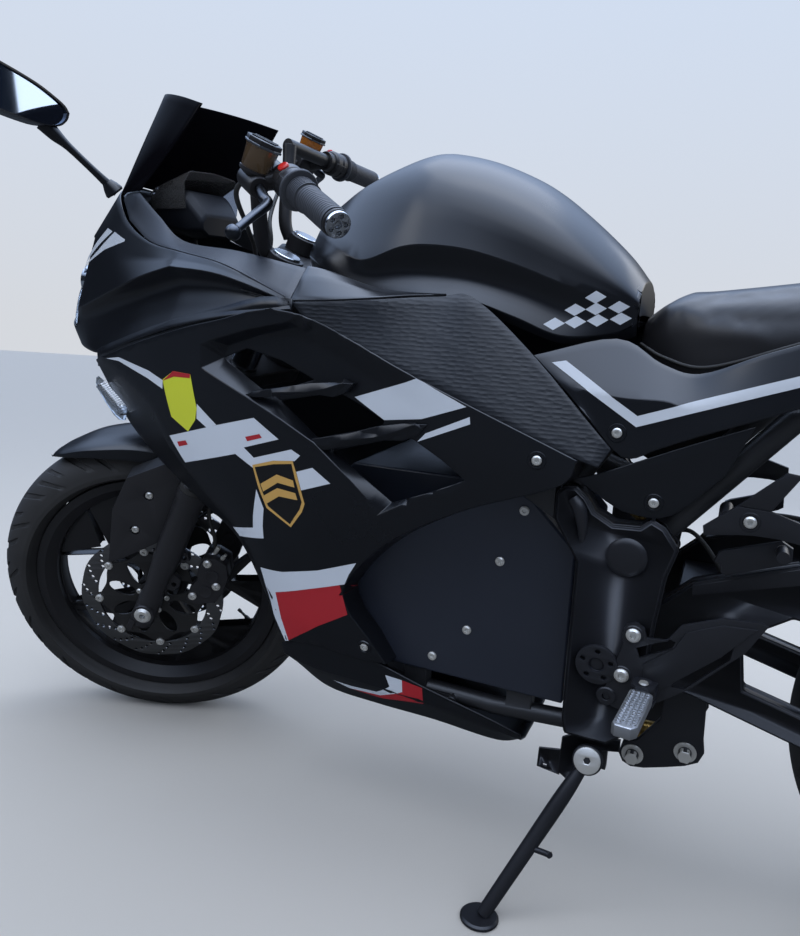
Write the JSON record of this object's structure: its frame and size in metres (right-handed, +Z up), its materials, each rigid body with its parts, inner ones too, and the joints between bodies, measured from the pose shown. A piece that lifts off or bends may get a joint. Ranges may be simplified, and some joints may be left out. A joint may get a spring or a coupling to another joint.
{
  "type": "sport motorcycle",
  "caption": "Faired electric sport motorcycle leaning on its side stand, with clip-on bars, cast wheels and an under-frame battery case; wheels, steering and stand move.",
  "frame": {"origin": "centre of the whole object's box, on the ground plane", "axes": "+X towards the rear of the bike, +Y towards its right side, +Z up; the bike leans to its left on its stand"},
  "size_m": [1.9833, 0.7044, 1.1396],
  "materials": {
    "black_bodywork": "satin",
    "grained_plastic": "matte",
    "black_frame": "satin",
    "battery_paint": "satin",
    "wheel_paint": "satin",
    "fork_black": "anodised",
    "bare_aluminium": "brushed",
    "gold_anodised": "anodised",
    "steel": "brushed",
    "tyre": "matte",
    "seat_cover": "grained",
    "smoked_screen": "polished",
    "clear_lens": "polished",
    "red_lens": "polished",
    "amber_lens": "polished"
  },
  "bodies": {
    "chassis": {"battery_case": "battery_paint", "belly_pan": "black_bodywork", "cowl_inner_panels": "grained_plastic", "cradle_tubes": "black_frame", "dash_panel": "grained_plastic", "footpegs": "bare_aluminium", "front_indicators": "clear_lens", "headlight": "clear_lens", "main_frame": "black_frame", "mirrors": "black_bodywork", "nose_cowl": "black_bodywork", "pillion_seat": "seat_cover", "pivot_plates": "black_frame", "rear_axle": "steel", "rear_caliper": "black_frame", "rear_indicators": "amber_lens", "rear_mudguard": "grained_plastic", "rear_shock": "gold_anodised", "rear_subframe": "black_frame", "rider_seat": "seat_cover", "shock_linkage": "bare_aluminium", "side_covers": "black_bodywork", "side_fairing_left": "black_bodywork", "side_fairing_right": "black_bodywork", "side_infill_panels": "grained_plastic", "stand_bracket": "black_frame", "swingarm": "black_frame", "tail_covers": "black_bodywork", "tail_light": "red_lens", "tank_cover": "black_bodywork", "windscreen": "smoked_screen"},
    "steering": {"front_axle": "steel", "fork_leg_left": "fork_black", "fork_leg_right": "fork_black", "fork_yokes": "black_frame", "handlebar_left": "black_frame", "handlebar_right": "black_frame", "front_calipers": "black_frame", "front_fender": "black_bodywork"},
    "front_wheel": {"front_tyre": "tyre", "front_rim": "wheel_paint", "front_discs": "steel"},
    "rear_wheel": {"rear_tyre": "tyre", "rear_rim": "wheel_paint", "hub_motor": "wheel_paint", "rear_disc": "steel"},
    "side_stand": {"side_stand": "black_frame"}
  },
  "joints": [
    {"name": "steering_turn", "type": "hinge", "parent": "chassis", "child": "steering", "pos_m": [-0.81323, 0.10719, -0.00447], "axis": [0.4354, -0.1019, 0.8945], "range_deg": [-52, 0]},
    {"name": "front_wheel_spin", "type": "hinge", "parent": "steering", "child": "front_wheel", "pos_m": [-0.71804, 0.05428, 0.28267], "axis": [-0.3946, 0.8714, 0.2914], "continuous": true},
    {"name": "rear_wheel_spin", "type": "hinge", "parent": "chassis", "child": "rear_wheel", "pos_m": [0.67772, 0.07108, 0.31243], "axis": [0, 0.9936, 0.1132], "continuous": true},
    {"name": "side_stand_fold", "type": "hinge", "parent": "chassis", "child": "side_stand", "pos_m": [0.12395, -0.078, 0.22515], "axis": [0.0645, -0.956, 0.2863], "range_deg": [0, 101]}
  ]
}
